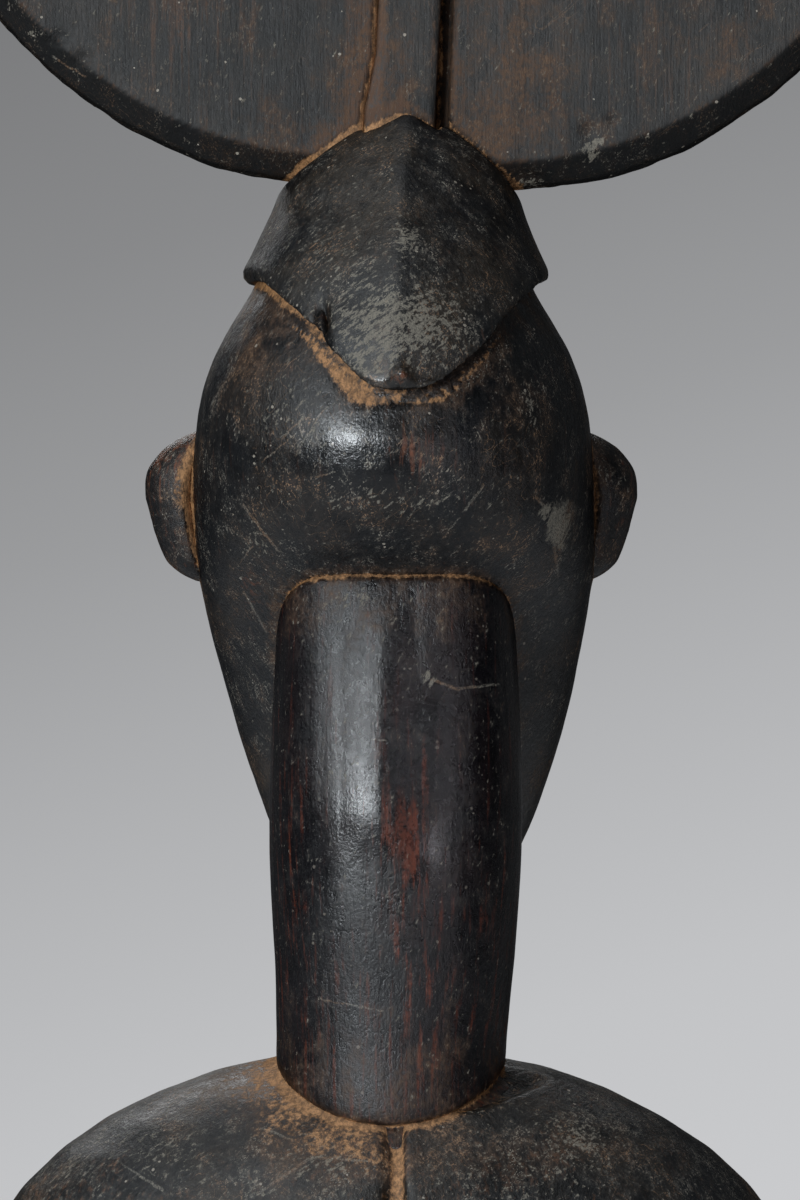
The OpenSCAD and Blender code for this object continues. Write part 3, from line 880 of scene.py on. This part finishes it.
def cap_masks(p, n, gap):
    low = CAP.low[2]
    behind = facing_back(n)
    lip = step(p[:, 2] - low, 2.6, 1.2) * step(np.abs(p[:, 0] - 0.5), 8, 6) * behind
    resin = blob(p, (-0.9, 30, low + 2.6), (1.2, 6, 1.4))
    # The amber spot on the resin bead is partly its amber colour and partly a painted highlight.
    amber_and_highlight = blob(p, (-1.0, 30, low + 1.9), (0.85, 6, 0.8))
    gouge = patches(
        p, (1, (8.8, 26, low + 8.8), (1.1, 8, 2.2)), (1, (7.6, 26, low + 6.2), (0.8, 8, 1.6)),
    )
    scuff = patches(
        p, (0.85, (-1.3, 28, low + 7.8), (9.5, 16, 6)), (0.5, (3.8, 29, low + 2.4), (5, 8, 2)),
        (0.75, (-1.8, 25, low + 18.9), (1.7, 16, 2.4)), (0.22, (6, 24, low + 16), (8, 16, 10)),
    )
    scuff = scuff * behind * (1 - np.clip(1.5 * (gouge + resin), 0, 1)) - 0.6 * lip
    rust = 0.05 + 1.3 * amber_and_highlight + 0.6 * blob(p, (8.6, 26, low + 9.4), (0.5, 6, 0.9))
    # Painted shade darkens the gouge; the ring round the resin bead is darkened as its own dark
    # colour.
    soot_and_shade = np.clip(1.3 * gouge, 0, 1) + 0.9 * resin * (1 - amber_and_highlight)
    return dict(
        dust=0.8 * crease(gap, 0.3), stain=0.5 * np.exp(-gap / 1.5), scuff=scuff, rust=rust,
        soot_and_shade=soot_and_shade, polish=lip + resin,
    )


def head_masks(p, n, gap):
    behind = facing_back(n)
    # Dust lies deepest under the lowest part of the cap's rim and more on the doll's left; its
    # fading on the right is painted shade.
    under_cap = step(p[:, 2] - HEAD.low[2], 60, 66)
    deep = 0.4 + 0.75 * under_cap * behind * np.exp(-(((p[:, 0] - 2) / 6.5) ** 2))
    deep += 0.2 * under_cap * step(p[:, 0], 2, 10)
    dust = crease(gap, deep) * (0.85 + 0.2 * noise(p, 3, 111))
    # Painted shade: the dust is made fainter on the doll's right.
    dust *= 1 - 0.25 * step(p[:, 0], -4, -12)
    stain = 0.75 * np.exp(-gap / 2.2) + patches(
        p, (0.55, on_head(17.5, 76), (7, 12, 7)), (0.4, on_head(-12, 68), (9, 12, 5)),
        (0.35, on_head(17.5, 42, 12), (4, 12, 8)), (0.3, on_head(-8, 52), (9, 12, 4)),
    )
    rust = 0.05 + patches(
        p, (0.5, on_head(-2.2, 62, 27), (4.5, 8, 3)), (0.3, on_head(18, 43, 12), (2.5, 9, 6)),
    )
    scuff = behind * patches(
        p, (1.6, on_head(-20.1, 53.4, 16), (1.8, 9, 2.3)),
        (1.0, on_head(-18.4, 54.8, 17), (1.2, 9, 0.9)),
        (0.8, on_head(-20.3, 50.9, 16), (0.7, 9, 1.5)), (0.45, on_head(-16.5, 68), (1.6, 9, 3.5)),
        (0.42, on_head(17.5, 51), (3.4, 9, 3)), (0.42, on_head(11, 66), (6, 9, 5)),
        (0.3, on_head(0, 56, 26), (12, 9, 2.5)),
    )
    polish = 1.2 * blob(p, on_head(4.8, 60.6, 27), (11.5, 16, 8.5))
    return dict(dust=dust, stain=stain, rust=rust, scuff=scuff, polish=polish)


def neck_masks(p, n, gap):
    above = p[:, 2] - CHEST
    behind = facing_back(n)
    uneven = 0.45 + 0.45 * noise(p, 4, 113)
    dust = crease(gap, 0.45 + uneven * step(above, 40, 50))
    stain = 0.5 * np.exp(-gap / 1.8) + 0.42 * step(above, 44, 58) * behind
    stain += 0.4 * step(above, 12, -2)
    rust = 0.12 + 0.15 * step(above, 18, 2) * behind + patches(
        p, (0.56, on_neck(-0.9, 28.5), (2.4, 10, 5.5)), (0.4, on_neck(-1.8, 22), (4.5, 10, 18)),
        (0.4, on_neck(11.5, 28, 12), (3, 9, 16)), (0.35, on_neck(-12, 22, 10), (3, 9, 14)),
    )
    scuff = patches(
        p, (0.85, on_neck(-4.1, 47), (1.0, 6, 1.1)), (0.2, on_neck(4, 56), (9, 9, 4)),
    )
    soot_and_shade = 0.55 * blob(p, on_neck(-0.6, 27.5), (2.6, 10, 8))
    # Handling has polished the middle of the neck, most of all where the light catches it.
    polish = 0.12 + 0.42 * step(above, 10, 24) * step(above, 60, 44)
    polish += 0.12 * noise(p, (5, 5, 9), 112)
    polish += patches(
        p, (0.45, on_neck(5.6, 28), (4, 10, 6)), (0.6, on_neck(-4.4, 26.5), (3, 10, 4.5)),
    )
    return dict(dust=dust, stain=stain, rust=rust, scuff=scuff, soot_and_shade=soot_and_shade, polish=polish)


def shoulder_masks(p, n, gap):
    behind = facing_back(n)
    above = p[:, 2] - CHEST
    from_neck = np.hypot(p[:, 0], p[:, 1] - NECK.mid[1]) - NECK.size[0] / 2
    high = step(above, -18, -10)
    left = step(p[:, 0], -6, 4)
    dust = crease(gap, 0.7) + 0.5 * step(from_neck, 7, 0) * high * (0.35 + 0.65 * left)
    in_spine = np.exp(-(((p[:, 0] + 0.3) / 0.9) ** 4)) * behind
    dust = np.maximum(dust, 1.1 * in_spine)
    stain = 0.75 * step(from_neck, 14, 1) * high * (0.4 + 0.6 * left) + 0.12 * left
    stain += 0.6 * noise(p, 7, 104)
    rust = 0.15 + 0.35 * noise(p, 7, 107)
    scuff = 0.3 * np.clip(noise(p, 8, 105), 0, 1) + patches(
        p, (0.3, on_neck(-24, -9, 14), (8, 12, 3)), (0.25, on_neck(6.5, -12.5), (5, 12, 3)),
    )
    # Painted shade: the cut-back top of the right shoulder, and a patch lower on the doll's right,
    # are darkened.
    outward = -p[:, 0]
    soot_and_shade = step(above, -6.4, -4.0) * step(outward, 10, 14) * step(outward, 40, 28) * behind
    soot_and_shade = np.maximum(soot_and_shade, 0.6 * blob(p, on_neck(-14, -13), (8, 14, 4)))
    polish = 0.55 * blob(p, on_neck(15.5, -13.7, 22), (7, 14, 3.5))
    return dict(dust=dust, stain=stain, rust=rust, scuff=scuff, soot_and_shade=soot_and_shade, polish=polish)


def ear_masks(p, n, gap):
    top = step(p[:, 2] - HEAD.low[2], 52, 62)
    left = step(p[:, 0], -1, 1)
    dust = crease(gap, 0.4) * (0.5 + 0.5 * left) + 0.75 * left * top * crease(gap, 2.6)
    stain = 0.6 * np.exp(-gap / 2.0) + 0.3
    return dict(dust=dust, stain=stain, rust=0.2 + 0.4 * left * top, soot_and_shade=0.3)


def other_masks(p, n, gap):
    dust = 0.85 * crease(gap, 0.35) * (0.75 + 0.35 * noise(p, 5, 108))
    stain = 0.55 * np.exp(-gap / 2) + 0.26 + 0.36 * noise(p, 10, 106)
    return dict(dust=dust, stain=stain, rust=0.12 + 0.2 * noise(p, 9, 109))


MASKS = {
    "coiffure_cap": cap_masks, "head": head_masks, "nose": head_masks, "neck": neck_masks,
    "shoulders": shoulder_masks, "ear_left": ear_masks, "ear_right": ear_masks,
    "crest_lobe_left": crest_masks, "crest_lobe_right": crest_masks, "crest_rib": crest_masks,
}
LAYERS = ("dust", "stain", "rust", "scuff", "soot_and_shade", "polish")


def make(node, voxel, soft, shape, group=()):
    """Carves a node's visible piece, lays the layers on it, and gives it its material."""
    piece, p, n, gap = carve(node, voxel, soft, shape, group)
    masks = MASKS.get(node, other_masks)(p, n, gap)
    for layer in LAYERS:
        mark(piece, layer, np.broadcast_to(masks.get(layer, 0.0), len(p)))
    piece.data.materials.clear()
    piece.data.materials.append(MATERIALS[slot_of[node]])


# Each form's voxel, softness in mm, small shapes and, where forms melt together, its group.
PLAN = {
    "crest_lobe_left": (FINE, 0.3, shape_crest),
    "crest_lobe_right": (FINE, 0.3, shape_crest),
    "crest_rib": (FINE, 0.3, shape_rib),
    "coiffure_cap": (FINE, 0.6, shape_cap),
    "head": (FINE, 0.9, shape_head, HEAD_PARTS),
    "nose": (FINE, 0.9, shape_head, HEAD_PARTS),
    "neck": (FINE, 0.6, shape_neck),
    "shoulders": (FINE, 0.8, shape_body, BODY_PARTS),
    "ear_left": (FINE, 0.5, shape_small),
    "ear_right": (FINE, 0.5, shape_small),
    "eye_left": (FINE, 0.4, shape_small),
    "eye_right": (FINE, 0.4, shape_small),
    "mouth": (FINE, 0.4, shape_small),
    "plinth": (COARSE, 0.8, shape_body),
    "navel": (FINE, 0.5, shape_small),
    "breast_left": (FINE, 0.6, shape_small),
    "breast_right": (FINE, 0.6, shape_small),
    "hand_left": (FINE, 0.35, shape_small),
    "hand_right": (FINE, 0.35, shape_small),
}
BODY_FORM = (COARSE, 0.9, shape_body, BODY_PARTS)
for node_name in sorted(frame["nodes"]):
    make(node_name, *PLAN.get(node_name, BODY_FORM))


# ---------------------------------------------------------------- stage, lights and camera

FOCUS = Vector((0, NECK.mid[1] * MM, 0.285))  # where the lights point, in metres
COOL = (0.9, 0.96, 1.0)
BLUISH = (0.95, 0.93, 1.0)
WHITE = (1, 1, 1)


def aim(azimuth, height, far):
    """A place far metres from the focus.

    Azimuth 0 is straight behind the doll, and its left is positive. Both angles are in degrees.
    """
    a, h = math.radians(azimuth), math.radians(height)
    way = Vector((math.sin(a) * math.cos(h), math.cos(a) * math.cos(h), math.sin(h)))
    return FOCUS + far * way


def place_light(name, position, size, power, colour=WHITE):
    """A soft box of size (width, height) in metres, turned to the focus. power is in watts."""
    data = bpy.data.lights.new(name, "AREA")
    data.shape = "RECTANGLE"
    data.size, data.size_y = size
    data.energy = power
    data.color = colour
    light = bpy.data.objects.new(name, data)
    light.location = position
    light.rotation_euler = (FOCUS - position).to_track_quat("-Z", "Y").to_euler()
    light.visible_camera = False
    bpy.context.scene.collection.objects.link(light)


place_light("key", aim(24, 3, 1.7), (0.26, 0.34), 22, COOL)
place_light("key_soft", aim(54, 22, 1.8), (0.9, 1.1), 11, COOL)
place_light("side", aim(-26, -6, 1.8), (0.16, 0.22), 3.3, BLUISH)
place_light("top", aim(30, 66, 1.5), (0.8, 0.8), 6)
place_light("front_key", aim(170, 30, 1.8), (0.9, 0.9), 19)

# The camera looks level at the doll's back. Its view is 0.15 m tall at 0.6 m.
camera_data = bpy.data.cameras.new("camera")
camera = bpy.data.objects.new("camera", camera_data)
bpy.context.scene.collection.objects.link(camera)
camera.location = (-0.0005, 0.605, 0.292)
camera.rotation_euler = (math.radians(90), 0, math.radians(180))
camera_data.sensor_fit = "VERTICAL"
camera_data.angle = 2 * math.atan(0.075 / 0.6)
bpy.context.scene.camera = camera

FLOOR_RADIUS = 1.3
FLOOR_DROP = 0.0005  # how far it lies under the plinth, so that the two don't share a plane
FADE = (0.35, 1.25)  # the distances from the middle between which the floor thins out


def lay_floor():
    """A pale floor that thins out into the plain backdrop."""
    bpy.ops.mesh.primitive_circle_add(
        vertices=96, radius=FLOOR_RADIUS, fill_type="NGON", location=(0, 0, -FLOOR_DROP),
    )
    floor = bpy.context.object
    floor.name = "floor"
    n = Nodes("floor_pale")
    cloud = n.noise(n.scaled((0.004, 0.004, 0.004)), 2)
    pale = n.blend(cloud, rgb((0.56, 0.57, 0.59)), rgb((0.6, 0.61, 0.63)))
    n.put(n.shader.inputs["Base Color"], pale)
    n.shader.inputs["Roughness"].default_value = 0.7
    clear = n.tree.nodes.new("ShaderNodeBsdfTransparent")
    both = n.tree.nodes.new("ShaderNodeMixShader")
    fade = n.ramp(n.vector("LENGTH", n.coords), *FADE)
    for socket, source in zip(both.inputs, (fade, n.shader.outputs[0], clear.outputs[0])):
        n.put(socket, source)
    n.put(n.out.inputs[0], both.outputs[0])
    floor.data.materials.append(n.material)


lay_floor()

BACKDROP = [(0.0, 0.6), (0.18, 0.55), (0.38, 0.45), (0.6, 0.33), (0.8, 0.25), (1.0, 0.195)]
BACKDROP_TINT = (0.985, 0.995, 1.02)
STUDIO_TINT = (0.92, 0.96, 1, 1)
DIMMEST, BRIGHTEST = 0.015, 0.12  # the studio's light behind the doll and in front of it


def light_studio():
    """A backdrop that is bright to look at, in a studio that is dim around the camera."""
    world = bpy.data.worlds.new("studio")
    bpy.context.scene.world = world
    world.use_nodes = True
    tree = world.node_tree

    def new(kind):
        return tree.nodes.new("ShaderNode" + kind)

    coords = new("TexCoord")

    def toward(direction, limits):
        """A number that grows, between its limits, the more a view points in a direction."""
        along = new("VectorMath")
        along.operation = "DOT_PRODUCT"
        along.inputs[1].default_value = direction
        tree.links.new(coords.outputs["Generated"], along.inputs[0])
        spread = new("MapRange")
        for key, limit in zip(RANGE_KEYS, limits):
            spread.inputs[key].default_value = limit
        tree.links.new(along.outputs["Value"], spread.inputs["Value"])
        return spread.outputs[0]

    sky = tree.nodes["Background"]
    ramp = new("ValToRGB")
    stops = ramp.color_ramp.elements
    while len(stops) < len(BACKDROP):
        stops.new(0.5)
    for stop, (at, grey) in zip(stops, BACKDROP):
        stop.position = at
        stop.color = (*(grey * tint for tint in BACKDROP_TINT), 1)
    tree.links.new(toward((0.3, 0, 1), (-0.15, 0.15, 0, 1)), ramp.inputs[0])
    tree.links.new(ramp.outputs[0], sky.inputs[0])
    dim = new("Background")
    dim.inputs[0].default_value = STUDIO_TINT
    tree.links.new(toward((0, -1, 0.3), (-0.2, 0.7, DIMMEST, BRIGHTEST)), dim.inputs[1])
    either = new("MixShader")
    sources = (new("LightPath").outputs["Is Camera Ray"], dim.outputs[0], sky.outputs[0])
    for socket, source in zip(either.inputs, sources):
        tree.links.new(source, socket)
    tree.links.new(either.outputs[0], tree.nodes["World Output"].inputs[0])


light_studio()
bpy.context.scene.view_settings.view_transform = "Standard"
